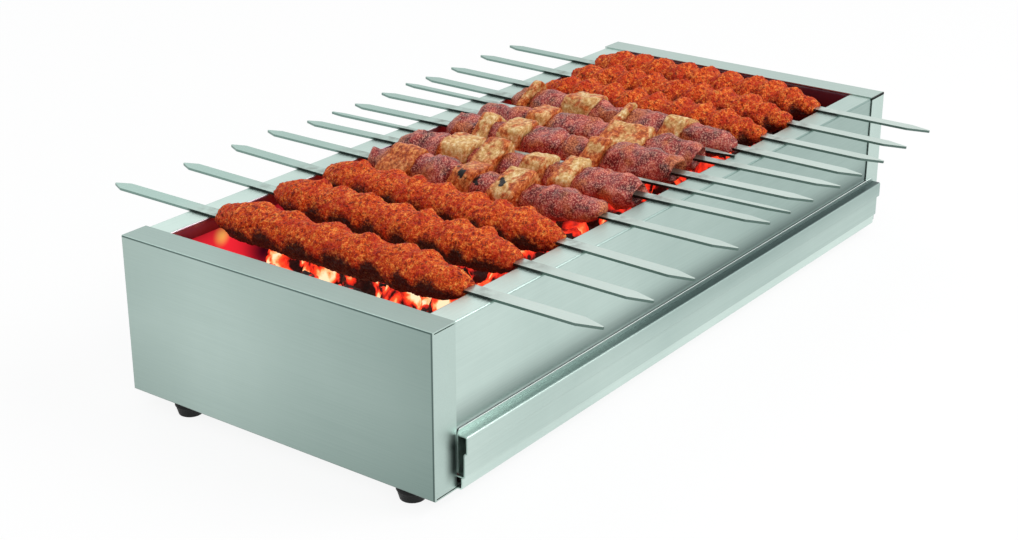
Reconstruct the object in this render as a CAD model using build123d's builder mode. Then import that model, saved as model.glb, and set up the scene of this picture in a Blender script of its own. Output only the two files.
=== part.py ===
from build123d import *
import os
from math import atan2, cos, hypot, pi, sin

os.makedirs("parts", exist_ok=True)

# Charcoal kebab grill with an ash drawer, twelve long skewers and a short one laid across two rails.
# +X runs along the long side, -Y is the drawer side, +Z is up, and the feet stand on Z = 0.

# Case, in millimetres
CASE_LENGTH = 800.0
CASE_WIDTH = 350.0
CASE_HEIGHT = 150.0
FOOT_HEIGHT = 13.0
CAP_FLANGE = 30.0
SHEET = 1.2
BEND = 2.0
SEAM = 1.0
OPENING_HALF_WIDTH = 146.6
RAIL_LIP = 14.0
DRAWER_OPENING_TOP = 65.0
PANEL_HEM = 12.0

CASE_TOP = FOOT_HEIGHT + CASE_HEIGHT
OPENING_HALF_LENGTH = CASE_LENGTH / 2 - CAP_FLANGE
RAIL_TOP = CASE_TOP - SHEET
PANEL_Y = CASE_WIDTH / 2 - SHEET
PANEL_HALF_LENGTH = CASE_LENGTH / 2 - 5.2
PAN_HALF_LENGTH = CASE_LENGTH / 2 - 3.0
PAN_BOTTOM = FOOT_HEIGHT + SHEET
PAN_TOP = PAN_BOTTOM + SHEET

# Firebox, grate and charcoal
GRATE_LEDGE = 78.2
GRATE_LEDGE_WIDTH = 14.0
GRATE_THICKNESS = 2.0
SLOT_LENGTH = 42.0
SLOT_WIDTH = 7.0
LUMP_COLUMNS = 16
LUMP_ROWS = 6
LUMP_RADIUS = 23.0
LUMP_HEIGHT = 47.0
END_LUMP_RISE = 11.0
LUMP_RINGS = ((0.0, 0.72, 0.0), (0.5, 1.0, 0.12), (1.0, 0.64, 0.14))
GOLDEN_TURN = 2.4

GRATE_TOP = GRATE_LEDGE + GRATE_THICKNESS

# Ash drawer
DRAWER_LEFT = -OPENING_HALF_LENGTH + 0.2
DRAWER_RIGHT = 385.0
FACE_SHEET = 1.0
FACE_BACK_Y = -CASE_WIDTH / 2 - 0.2
FACE_TOP = 67.0
CHANNEL_DEPTH = 10.6
CHANNEL_TOP = 63.0
CHANNEL_LIP_BOTTOM = 47.0
CHANNEL_JOGGLE = 2.8
CHANNEL_TUCK = 31.0
TRAY_HALF_LENGTH = 358.0
TRAY_BACK_Y = 138.0
TRAY_DEPTH = 36.0
TRAY_SHEET = 1.0
SILL_DEPTH = 5.2
SILL_HEIGHT = 10.6
DRAWER_GAP = 0.4
RIVET_RADIUS = 2.0
RIVET_SPACING = 140.0
RIVET_COUNT = 5

DRAWER_BOTTOM = FOOT_HEIGHT + SILL_HEIGHT + DRAWER_GAP
TRAY_BOTTOM = DRAWER_BOTTOM + SHEET
RIVET_PLANE = Plane((0, FACE_BACK_Y, TRAY_BOTTOM + TRAY_DEPTH / 2), x_dir=(1, 0, 0), z_dir=(0, -1, 0))

# Feet and their screws
FOOT_X = 385.0
FOOT_FRONT_Y = -140.0
FOOT_BACK_Y = 118.0
FOOT_RADIUS = 13.0
FOOT_RECESS_RADIUS = 5.5
FOOT_RECESS_DEPTH = 5.0
SCREW_RADIUS = 2.0
SCREW_HOLE_RADIUS = 2.2

# Skewers: near tip x and y, far tip x and y, and the width of the flat bar
BLADE_THICKNESS = 2.4
NEAR_TAPER = 22.0
FAR_TAPER = 14.0
TIP_WIDTH = 1.6
SKEWERS = {
    "01": (-312, -276, -311, 279, 15),
    "02": (-245, -280, -232, 269, 14),
    "03": (-186, -283, -164, 271, 14),
    "04": (-105, -278, -108, 274, 13),
    "05": (-34, -270, -60, 263, 12),
    "06": (1, -272, -21, 263, 6),
    "07": (41, -274, 15, 262, 13),
    "08": (90, -277, 63, 265, 12),
    "09": (109, -152, 107, 267, 8),
    "10": (132, -279, 140, 265, 14),
    "11": (181, -278, 187, 265, 13),
    "12": (235, -277, 248, 269, 13),
    "13": (297, -274, 303, 267, 13),
}

# Minced kofte: where each starts and ends along Y
KOFTE_WIDTH = 40.0
KOFTE_DEPTH = 36.0
KOFTE_RIDGES = 7
KOFTE_VALLEY = 0.87
KOFTE_END = 0.46
KOFTE_SIDES = 10
KOFTES = {
    "01": (-143, 137),
    "02": (-141, 137),
    "03": (-143, 134),
    "11": (-143, 127),
    "12": (-143, 131),
    "13": (-143, 138),
}

# Lamb skewers: where the first piece starts along Y, then each piece and its length, from near to far
CHUNK_WIDTH = 41.0
CHUNK_DEPTH = 38.0
CHUNK_SIDES = 8
CHUNK_GAP = 0.4
LAMBS = {
    "04": (-137, "meat 65, meat 20, fat 30, meat 26, fat 26, meat 46, fat 36, meat 25"),
    "05": (-135, "meat 65, fat 23, meat 13, fat 26, meat 26, fat 24, meat 10, fat 34, meat 51"),
    "07": (-129, "meat 77, fat 21, meat 31, meat 42, fat 26, meat 14, fat 16, meat 37"),
    "08": (-125, "meat 57, fat 48, meat 68, fat 21, meat 66"),
    "10": (-139, "meat 59, fat 26, meat 46, fat 10, meat 32, fat 35, meat 43, fat 9, meat 19"),
}


def save(part, name):
    """Labels a finished piece and writes it to its own file."""
    part.label = name
    export_step(part, f"parts/{name}.step")


def folded_strip(plane, points, bend=BEND, sheet=SHEET):
    """A bent sheet's section. The points run along one face, and the sheet lies to their left."""
    with BuildSketch(plane) as strip:
        with BuildLine():
            face_line = FilletPolyline(*points, radius=bend)
            offset(face_line, amount=sheet, side=Side.LEFT)
        make_face()
    return strip.sketch


def oval(plane, width, depth, sides):
    """The corners of an oval with flat sides on a plane, wide along its X."""
    turns = [2 * pi * (k + 0.5) / sides for k in range(sides)]
    corners = [Vector(width / 2 * cos(turn), depth / 2 * sin(turn), 0) for turn in turns]
    return [plane.from_local_coords(corner) for corner in corners]


# Left end cap: a lid folded from one sheet, with open seams where its flanges meet
with BuildPart() as left_end_cap:
    with BuildSketch(Plane.YZ.offset(-CASE_LENGTH / 2)):
        with Locations((0, FOOT_HEIGHT + CASE_HEIGHT / 2)):
            Rectangle(CASE_WIDTH, CASE_HEIGHT)
    extrude(amount=CAP_FLANGE)
    end_face = left_end_cap.faces().sort_by(Axis.X)[0]
    fillet(end_face.edges(), radius=BEND)
    inner_face = left_end_cap.faces().sort_by(Axis.X)[-1]
    offset(amount=-SHEET, openings=inner_face)
    seam_x = -OPENING_HALF_LENGTH - (CAP_FLANGE - BEND - SHEET) / 2
    seam_z = CASE_HEIGHT / 2 - SHEET - SEAM / 2
    with Locations((seam_x, 0, FOOT_HEIGHT + CASE_HEIGHT / 2)):
        with GridLocations(0, CASE_WIDTH - SHEET, 1, 2):
            with Locations((0, 0, seam_z), (0, 0, -seam_z)):
                Box(CAP_FLANGE - BEND - SHEET, 2 * SHEET, SEAM, mode=Mode.SUBTRACT)
    with Locations((-FOOT_X, FOOT_FRONT_Y, FOOT_HEIGHT), (-FOOT_X, FOOT_BACK_Y, FOOT_HEIGHT)):
        Cylinder(SCREW_HOLE_RADIUS, 4 * SHEET, mode=Mode.SUBTRACT)
save(left_end_cap.part, "left_end_cap")

# Right end cap: the left one mirrored
with BuildPart() as right_end_cap:
    add(mirror(left_end_cap.part, about=Plane.YZ))
save(right_end_cap.part, "right_end_cap")

# Front panel: one sheet that is lip, skewer rail and panel, hemmed inwards over the drawer opening
with BuildPart() as front_panel:
    front_line = [
        (-OPENING_HALF_WIDTH, RAIL_TOP - RAIL_LIP),
        (-OPENING_HALF_WIDTH, RAIL_TOP),
        (-PANEL_Y, RAIL_TOP),
        (-PANEL_Y, DRAWER_OPENING_TOP),
        (-PANEL_Y + PANEL_HEM, DRAWER_OPENING_TOP),
    ]
    extrude(folded_strip(Plane.YZ.offset(-PANEL_HALF_LENGTH), front_line), 2 * PANEL_HALF_LENGTH)
save(front_panel.part, "front_panel")

# Back panel: the same rail, with a full-height panel that turns in on the base pan
with BuildPart() as back_panel:
    back_line = [
        (PANEL_Y - PANEL_HEM, PAN_TOP),
        (PANEL_Y, PAN_TOP),
        (PANEL_Y, RAIL_TOP),
        (OPENING_HALF_WIDTH, RAIL_TOP),
        (OPENING_HALF_WIDTH, RAIL_TOP - RAIL_LIP),
    ]
    extrude(folded_strip(Plane.YZ.offset(-PANEL_HALF_LENGTH), back_line), 2 * PANEL_HALF_LENGTH)
save(back_panel.part, "back_panel")

# Base pan: closes the case below the drawer, turned up at both ends
PAN_UPSTAND = 12.0
with BuildPart() as base_pan:
    pan_line = [
        (-PAN_HALF_LENGTH, PAN_BOTTOM + PAN_UPSTAND),
        (-PAN_HALF_LENGTH, PAN_BOTTOM),
        (PAN_HALF_LENGTH, PAN_BOTTOM),
        (PAN_HALF_LENGTH, PAN_BOTTOM + PAN_UPSTAND),
    ]
    extrude(folded_strip(Plane.XZ.offset(-PANEL_Y), pan_line), 2 * PANEL_Y - SHEET)
    with Locations((0, (FOOT_FRONT_Y + FOOT_BACK_Y) / 2, PAN_BOTTOM)):
        with GridLocations(2 * FOOT_X, FOOT_BACK_Y - FOOT_FRONT_Y, 2, 2):
            Cylinder(SCREW_HOLE_RADIUS, 4 * SHEET, mode=Mode.SUBTRACT)
save(base_pan.part, "base_pan")

# Drawer sill: an angle under the drawer front, with a tongue that runs in below the base pan
SILL_TONGUE = 24.0
with BuildPart() as drawer_sill:
    sill_front = -CASE_WIDTH / 2 - SILL_DEPTH
    sill_line = [
        (sill_front, FOOT_HEIGHT + SILL_HEIGHT),
        (sill_front, FOOT_HEIGHT),
        (-CASE_WIDTH / 2 + SILL_TONGUE, FOOT_HEIGHT),
    ]
    extrude(folded_strip(Plane.YZ.offset(DRAWER_LEFT), sill_line), DRAWER_RIGHT - DRAWER_LEFT)
    notch_length = DRAWER_RIGHT - OPENING_HALF_LENGTH + 1.0
    notch_depth = SILL_TONGUE + 1.0
    with Locations((OPENING_HALF_LENGTH - 0.2, -CASE_WIDTH / 2 - 0.2, FOOT_HEIGHT - 1.0)):
        Box(notch_length, notch_depth, 2 * SHEET, align=Align.MIN, mode=Mode.SUBTRACT)
save(drawer_sill.part, "drawer_sill")

# Firebox walls: the long pair hang behind the rail lips and carry the grate on a ledge
WALL_FLANGE = 14.0
WALL_HALF_LENGTH = OPENING_HALF_LENGTH + 1.0
with BuildPart() as firebox_front_wall:
    wall_y = OPENING_HALF_WIDTH + 2 * SHEET
    wall_line = [
        (-wall_y - WALL_FLANGE, RAIL_TOP - 2 * SHEET),
        (-wall_y, RAIL_TOP - 2 * SHEET),
        (-wall_y, GRATE_LEDGE - SHEET),
        (-wall_y + GRATE_LEDGE_WIDTH, GRATE_LEDGE - SHEET),
    ]
    extrude(folded_strip(Plane.YZ.offset(-WALL_HALF_LENGTH), wall_line), 2 * WALL_HALF_LENGTH)
save(firebox_front_wall.part, "firebox_front_wall")

with BuildPart() as firebox_back_wall:
    add(mirror(firebox_front_wall.part, about=Plane.XZ))
save(firebox_back_wall.part, "firebox_back_wall")

# The end pair hang under the cap flanges, between the rail lips
with BuildPart() as firebox_left_wall:
    end_wall_x = WALL_HALF_LENGTH + 0.2 + SHEET
    end_wall_line = [
        (-end_wall_x - WALL_FLANGE, RAIL_TOP - SHEET),
        (-end_wall_x, RAIL_TOP - SHEET),
        (-end_wall_x, GRATE_LEDGE - SHEET),
    ]
    end_wall_half_width = OPENING_HALF_WIDTH - 0.2
    extrude(folded_strip(Plane.XZ.offset(-end_wall_half_width), end_wall_line), 2 * end_wall_half_width)
save(firebox_left_wall.part, "firebox_left_wall")

with BuildPart() as firebox_right_wall:
    add(mirror(firebox_left_wall.part, about=Plane.YZ))
save(firebox_right_wall.part, "firebox_right_wall")

# Charcoal grate: a slotted plate that lets ash fall into the drawer
SLOT_COLUMNS = 13
SLOT_ROWS = 4
with BuildPart() as charcoal_grate:
    with BuildSketch(Plane.XY.offset(GRATE_LEDGE)):
        Rectangle(2 * OPENING_HALF_LENGTH, 2 * OPENING_HALF_WIDTH)
        with GridLocations(54.0, 64.0, SLOT_COLUMNS, SLOT_ROWS):
            Rectangle(SLOT_WIDTH, SLOT_LENGTH, mode=Mode.SUBTRACT)
    extrude(amount=GRATE_THICKNESS)
save(charcoal_grate.part, "charcoal_grate")

# Charcoal: uneven lumps in staggered columns on the grate, the left end column heaped higher
with BuildPart() as charcoal:
    column_pitch = 2 * (OPENING_HALF_LENGTH - 1.0) / LUMP_COLUMNS
    row_pitch = 2 * (OPENING_HALF_WIDTH - 1.0) / LUMP_ROWS
    lumps = []
    for column in range(LUMP_COLUMNS):
        rows = LUMP_ROWS - column % 2
        for row in range(rows):
            number = column * LUMP_ROWS + row
            x = (column - (LUMP_COLUMNS - 1) / 2) * column_pitch
            y = (row - (rows - 1) / 2) * row_pitch + sin(3.1 * number)
            height = LUMP_HEIGHT * (0.93 + 0.07 * sin(1.7 * number))
            if column == 0:
                height += END_LUMP_RISE
            sides = 5 + number % 3
            corners = []
            for share, scale, tilt in LUMP_RINGS:
                for side in range(sides):
                    turn = GOLDEN_TURN * number + 2 * pi * side / sides + scale
                    radius = LUMP_RADIUS * scale * (0.9 + 0.1 * sin(5.3 * side + number))
                    z = GRATE_TOP + height * (share - tilt * (0.5 + 0.5 * sin(turn + number)))
                    corners.append((x + radius * cos(turn), y + radius * sin(turn), z))
            lumps.append(ConvexPolyhedron(corners, mode=Mode.PRIVATE))
    add(lumps)
save(charcoal.part, "charcoal")

# Drawer face: a flat plate that closes the drawer opening, with rounded top corners
with BuildPart() as drawer_face:
    with BuildSketch(Plane.XZ.offset(-FACE_BACK_Y)) as face_outline:
        with Locations(((DRAWER_LEFT + DRAWER_RIGHT) / 2, (TRAY_BOTTOM + FACE_TOP) / 2)):
            Rectangle(DRAWER_RIGHT - DRAWER_LEFT, FACE_TOP - TRAY_BOTTOM)
        fillet(face_outline.vertices().group_by(Axis.Z)[-1], radius=4.0)
    extrude(amount=FACE_SHEET)
    with BuildSketch(RIVET_PLANE):
        with GridLocations(RIVET_SPACING, 0, RIVET_COUNT, 1):
            Circle(RIVET_RADIUS)
    extrude(amount=2 * FACE_SHEET, both=True, mode=Mode.SUBTRACT)
save(drawer_face.part, "drawer_face")

# Handle channel: ledge, lip and joggled front, open at both ends, tucked in under the tray
with BuildPart() as drawer_handle_channel:
    face_front = FACE_BACK_Y - FACE_SHEET
    lip_y = -CASE_WIDTH / 2 - CHANNEL_DEPTH
    lower_y = lip_y + CHANNEL_JOGGLE
    channel_line = [
        (face_front, CHANNEL_TOP),
        (lip_y, CHANNEL_TOP),
        (lip_y, CHANNEL_LIP_BOTTOM),
        (lower_y, CHANNEL_LIP_BOTTOM - 1.0),
        (lower_y, DRAWER_BOTTOM),
        (lower_y + CHANNEL_TUCK, DRAWER_BOTTOM),
    ]
    channel_bends = [BEND, 1.6, 1.6, BEND]
    channel_section = folded_strip(Plane.YZ.offset(DRAWER_LEFT), channel_line, channel_bends)
    extrude(channel_section, DRAWER_RIGHT - DRAWER_LEFT)
    with Locations((TRAY_HALF_LENGTH, -CASE_WIDTH / 2 - 0.2, DRAWER_BOTTOM - 1.0)):
        Box(CAP_FLANGE + BEND, CHANNEL_TUCK, 2 * SHEET, align=Align.MIN, mode=Mode.SUBTRACT)
save(drawer_handle_channel.part, "drawer_handle_channel")

# Ash tray: an open pan with rounded corners and a rounded bottom edge
TRAY_CORNER_RADIUS = 4.0
TRAY_BOTTOM_RADIUS = 3.0
with BuildPart() as ash_tray:
    with BuildSketch(Plane.XY.offset(TRAY_BOTTOM)):
        with Locations((0, (FACE_BACK_Y + TRAY_BACK_Y) / 2)):
            Rectangle(2 * TRAY_HALF_LENGTH, TRAY_BACK_Y - FACE_BACK_Y)
    extrude(amount=TRAY_DEPTH)
    fillet(ash_tray.edges().filter_by(Axis.Z), radius=TRAY_CORNER_RADIUS)
    fillet(ash_tray.faces().sort_by(Axis.Z)[0].edges(), radius=TRAY_BOTTOM_RADIUS)
    offset(amount=-TRAY_SHEET, openings=ash_tray.faces().sort_by(Axis.Z)[-1])
    with BuildSketch(RIVET_PLANE):
        with GridLocations(RIVET_SPACING, 0, RIVET_COUNT, 1):
            Circle(RIVET_RADIUS)
    extrude(amount=2 * TRAY_SHEET, both=True, mode=Mode.SUBTRACT)
save(ash_tray.part, "ash_tray")

# Drawer rivets: hold the tray's front wall to the drawer face
RIVET_HEAD_RADIUS = 3.6
RIVET_HEAD_HEIGHT = 1.4
with BuildPart() as drawer_rivets:
    grip = TRAY_SHEET + FACE_SHEET
    with BuildSketch(Plane.XY) as rivet_profile:
        with BuildLine():
            Polyline(
                (0, -RIVET_HEAD_HEIGHT),
                (RIVET_HEAD_RADIUS * 0.6, -RIVET_HEAD_HEIGHT),
                (RIVET_HEAD_RADIUS, 0),
                (RIVET_RADIUS - 0.05, 0),
                (RIVET_RADIUS - 0.05, grip),
                (RIVET_HEAD_RADIUS, grip),
                (RIVET_HEAD_RADIUS * 0.6, grip + RIVET_HEAD_HEIGHT),
                (0, grip + RIVET_HEAD_HEIGHT),
                close=True,
            )
        make_face()
    rivet_heights = Plane((0, FACE_BACK_Y + TRAY_SHEET - grip, TRAY_BOTTOM + TRAY_DEPTH / 2))
    with Locations(rivet_heights):
        with GridLocations(RIVET_SPACING, 0, RIVET_COUNT, 1):
            add(revolve(rivet_profile.sketch, axis=Axis.Y, mode=Mode.PRIVATE))
save(drawer_rivets.part, "drawer_rivets")

# Drawer guides: a shelf and an upright along each end of the tray, standing on the base pan
GUIDE_CLEARANCE = 0.8
GUIDE_FOOT = 16.0
GUIDE_HEIGHT = 20.0
GUIDE_FRONT_Y = -150.0
GUIDE_BACK_Y = 150.0
with BuildPart() as right_drawer_guide:
    upright_x = TRAY_HALF_LENGTH + GUIDE_CLEARANCE + SHEET
    web_x = upright_x - GUIDE_FOOT
    guide_line = [
        (web_x - GUIDE_FOOT, PAN_TOP),
        (web_x, PAN_TOP),
        (web_x, TRAY_BOTTOM - SHEET),
        (upright_x, TRAY_BOTTOM - SHEET),
        (upright_x, TRAY_BOTTOM + GUIDE_HEIGHT),
    ]
    extrude(folded_strip(Plane.XZ.offset(-GUIDE_BACK_Y), guide_line), GUIDE_BACK_Y - GUIDE_FRONT_Y)
save(right_drawer_guide.part, "right_drawer_guide")

with BuildPart() as left_drawer_guide:
    add(mirror(right_drawer_guide.part, about=Plane.YZ))
save(left_drawer_guide.part, "left_drawer_guide")

# Feet: round rubber buttons with a recess for the screw head
FOOT_PLACES = {
    "front_left_foot": (-FOOT_X, FOOT_FRONT_Y),
    "front_right_foot": (FOOT_X, FOOT_FRONT_Y),
    "back_left_foot": (-FOOT_X, FOOT_BACK_Y),
    "back_right_foot": (FOOT_X, FOOT_BACK_Y),
}
for foot_name, (foot_x, foot_y) in FOOT_PLACES.items():
    with BuildPart() as foot:
        with BuildSketch(Plane((foot_x, foot_y, 0))):
            Circle(FOOT_RADIUS)
        extrude(amount=FOOT_HEIGHT)
        with Locations(foot.faces().sort_by(Axis.Z)[0]):
            CounterBoreHole(SCREW_HOLE_RADIUS, FOOT_RECESS_RADIUS, FOOT_RECESS_DEPTH)
    save(foot.part, foot_name)

# Foot screws and nuts: clamp each foot to the cap flange and the base pan
SCREW_HEAD_RADIUS = 4.0
SCREW_HEAD_HEIGHT = 2.5
SCREW_TOP = PAN_TOP + 5.0
NUT_HEIGHT = 3.2
NUT_RADIUS = 4.0
foot_points = [(x, y) for x, y in FOOT_PLACES.values()]
with BuildPart() as foot_screws:
    with BuildSketch(Plane.XY.offset(FOOT_RECESS_DEPTH - SCREW_HEAD_HEIGHT)):
        with Locations(*foot_points):
            Circle(SCREW_HEAD_RADIUS)
    extrude(amount=SCREW_HEAD_HEIGHT)
    with BuildSketch(Plane.XY.offset(FOOT_RECESS_DEPTH)):
        with Locations(*foot_points):
            Circle(SCREW_RADIUS)
    extrude(amount=SCREW_TOP - FOOT_RECESS_DEPTH)
save(foot_screws.part, "foot_screws")

with BuildPart() as foot_nuts:
    with BuildSketch(Plane.XY.offset(PAN_TOP)):
        with Locations(*foot_points):
            RegularPolygon(NUT_RADIUS, 6)
            Circle(SCREW_RADIUS + 0.05, mode=Mode.SUBTRACT)
    extrude(amount=NUT_HEIGHT)
save(foot_nuts.part, "foot_nuts")


def heading(number):
    """The angle of a skewer's long axis, anticlockwise from +X."""
    near_x, near_y, far_x, far_y, _ = SKEWERS[number]
    return atan2(far_y - near_y, far_x - near_x)


def across(number, y, depth=BLADE_THICKNESS / 2):
    """A plane square to a skewer where its axis crosses Y, with local Y upwards."""
    near_x, near_y, _, _, _ = SKEWERS[number]
    turn = heading(number)
    x = near_x + (y - near_y) * cos(turn) / sin(turn)
    origin = (x, y, RAIL_TOP + depth)
    return Plane(origin, x_dir=(-sin(turn), cos(turn), 0), z_dir=(cos(turn), sin(turn), 0))


def blade(number):
    """A flat bar pointed at both ends, lying on the rails."""
    near_x, near_y, far_x, far_y, width = SKEWERS[number]
    length = hypot(far_x - near_x, far_y - near_y)
    near_tip = Plane((near_x, near_y, RAIL_TOP), x_dir=(far_x - near_x, far_y - near_y, 0))
    with BuildPart() as bar:
        with BuildSketch(near_tip):
            with BuildLine():
                half = Polyline(
                    (0, 0),
                    (0, TIP_WIDTH / 2),
                    (NEAR_TAPER, width / 2),
                    (length - FAR_TAPER, width / 2),
                    (length, TIP_WIDTH / 2),
                    (length, 0),
                )
                mirror(half, about=Plane.XZ)
            make_face()
        extrude(amount=BLADE_THICKNESS)
    return bar.part


# Skewers
blades = {number: blade(number) for number in SKEWERS}
for number, bar in blades.items():
    save(bar, f"skewer_{number}")

# Kofte: mince pressed round the blade, with a ridge for each finger and tapered ends
for number, (near_y, far_y) in KOFTES.items():
    with BuildPart() as kofte:
        stations = 2 * KOFTE_RIDGES
        rings = []
        for station in range(stations + 1):
            if station in (0, stations):
                scale = KOFTE_END
            elif station % 2:
                scale = 1.0 - 0.04 * cos(station * 1.9 + int(number))
            else:
                scale = KOFTE_VALLEY
            if station in (1, stations - 1):
                scale *= 0.86
            y = near_y + (far_y - near_y) * station / stations
            rings.append(oval(across(number, y), KOFTE_WIDTH * scale, KOFTE_DEPTH * scale, KOFTE_SIDES))
        ridges = [rings[k] + rings[k + 1] + rings[k + 2] for k in range(0, stations, 2)]
        add([ConvexPolyhedron(ridge, mode=Mode.PRIVATE) for ridge in ridges])
        add(blades[number], mode=Mode.SUBTRACT)
    save(kofte.part, f"kofte_{number}")


def chunks(number, kind):
    """All the pieces of one kind on a lamb skewer, each a rounded block round the blade."""
    start_y, order = LAMBS[number]
    with BuildPart() as pieces:
        y = start_y
        blocks = []
        for place, entry in enumerate(order.split(", ")):
            name, length = entry.split(" ")
            near, far = y + CHUNK_GAP / 2, y + float(length) - CHUNK_GAP / 2
            y += float(length)
            if name != kind:
                continue
            width = CHUNK_WIDTH * (0.95 + 0.05 * sin(2.1 * place + int(number)))
            depth = CHUNK_DEPTH * (0.95 + 0.05 * cos(1.3 * place + int(number)))
            corners = []
            for share, scale in ((0.0, 0.78), (0.25, 1.0), (0.75, 1.0), (1.0, 0.78)):
                section = across(number, near + (far - near) * share)
                corners += oval(section, width * scale, depth * scale, CHUNK_SIDES)
            blocks.append(ConvexPolyhedron(corners, mode=Mode.PRIVATE))
        add(blocks)
        add(blades[number], mode=Mode.SUBTRACT)
    return pieces.part


# Lamb skewers: meat and tail fat in turn
for number in LAMBS:
    save(chunks(number, "meat"), f"lamb_meat_{number}")
    save(chunks(number, "fat"), f"lamb_fat_{number}")
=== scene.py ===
import math

import bmesh
import bpy
import numpy as np
from mathutils import Matrix, Vector, noise


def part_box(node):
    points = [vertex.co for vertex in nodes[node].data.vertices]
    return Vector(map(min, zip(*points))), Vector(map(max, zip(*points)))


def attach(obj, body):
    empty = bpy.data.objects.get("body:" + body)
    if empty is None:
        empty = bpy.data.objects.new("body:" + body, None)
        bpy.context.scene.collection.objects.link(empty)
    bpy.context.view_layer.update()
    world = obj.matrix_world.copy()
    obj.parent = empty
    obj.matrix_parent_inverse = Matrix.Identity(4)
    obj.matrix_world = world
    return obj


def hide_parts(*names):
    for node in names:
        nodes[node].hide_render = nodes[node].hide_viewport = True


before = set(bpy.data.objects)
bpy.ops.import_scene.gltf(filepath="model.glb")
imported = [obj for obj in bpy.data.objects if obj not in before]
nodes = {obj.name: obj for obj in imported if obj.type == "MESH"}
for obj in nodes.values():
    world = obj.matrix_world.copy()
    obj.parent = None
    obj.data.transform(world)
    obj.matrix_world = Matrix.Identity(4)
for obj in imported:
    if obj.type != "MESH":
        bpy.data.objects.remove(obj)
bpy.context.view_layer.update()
MM = 0.001
# How far each seed moves the noise along the three axes, in waves
SEED_STEPS = (7.3, -3.1, 5.7)
NOISE_FALL_OFF, LAYER_FINENESS = 1.0, 2.0


# Mesh helpers

def new_piece(name, points, faces, body, material):
    """A smooth-shaded mesh that rides on a body."""
    mesh = bpy.data.meshes.new(name)
    mesh.from_pydata([tuple(p) for p in points], [], [tuple(int(i) for i in f) for f in faces])
    mesh.update()
    mesh.shade_smooth()
    mesh.materials.append(material)
    piece = bpy.data.objects.new(name, mesh)
    bpy.context.scene.collection.objects.link(piece)
    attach(piece, body)
    return piece


def solids(node):
    """The separate solids of a CAD node, each as its corner points and its faces."""
    shape = bmesh.new()
    shape.from_mesh(nodes[node].data)
    bmesh.ops.remove_doubles(shape, verts=shape.verts, dist=1e-6)
    shape.verts.ensure_lookup_table()
    shape.verts.index_update()
    group = [-1] * len(shape.verts)
    count = 0
    for vert in shape.verts:
        if group[vert.index] >= 0:
            continue
        group[vert.index] = count
        stack = [vert]
        while stack:
            for edge in stack.pop().link_edges:
                for other in edge.verts:
                    if group[other.index] < 0:
                        group[other.index] = count
                        stack.append(other)
        count += 1
    points = [[] for _ in range(count)]
    place = {}
    for vert in shape.verts:
        place[vert.index] = len(points[group[vert.index]])
        points[group[vert.index]].append(tuple(vert.co))
    faces = [[] for _ in range(count)]
    for face in shape.faces:
        faces[group[face.verts[0].index]].append([place[v.index] for v in face.verts])
    shape.free()
    return [(np.array(p), f) for p, f in zip(points, faces)]


def wavy(point, scale, seed, depth=3):
    """Smooth noise in about -1 to 1 at a point in metres, with waves about 1/scale long."""
    moved = Vector([place * scale + seed * step for place, step in zip(point, SEED_STEPS)])
    return noise.fractal(moved, NOISE_FALL_OFF, LAYER_FINENESS, depth)


class Tube:
    """A closed skin built up from rings round a straight axis."""

    def __init__(self, start, end, sides):
        self.start = Vector(start)
        self.along = (Vector(end) - self.start).normalized()
        self.side = self.along.cross(Vector((0, 0, 1))).normalized()
        self.up = self.side.cross(self.along)
        self.sides = sides
        self.turns = [2 * math.pi * k / sides for k in range(sides)]
        self.points = []
        self.faces = []

    def point(self, distance, across, height):
        return self.start + self.along * distance + self.side * across + self.up * height

    def ring(self, points):
        first = len(self.points)
        self.points.extend(points)
        if first:
            for k in range(self.sides):
                after = (k + 1) % self.sides
                a, b = first - self.sides + k, first - self.sides + after
                self.faces.append((a, b, first + after, first + k))

    def close(self, near_point, far_point):
        last = len(self.points) - self.sides
        near, far = len(self.points), len(self.points) + 1
        self.points.extend([near_point, far_point])
        for k in range(self.sides):
            after = (k + 1) % self.sides
            self.faces.append((near, after, k))
            self.faces.append((far, last + k, last + after))


def displaced(points, faces, amount):
    """The points moved along the surface's own smooth normals by amount(point)."""
    mesh = bpy.data.meshes.new("scratch")
    mesh.from_pydata([tuple(p) for p in points], [], faces)
    mesh.update()
    normals = [v.normal.copy() for v in mesh.vertices]
    bpy.data.meshes.remove(mesh)
    return [Vector(p) + n * amount(Vector(p)) for p, n in zip(points, normals)]


# Shader helpers

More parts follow.
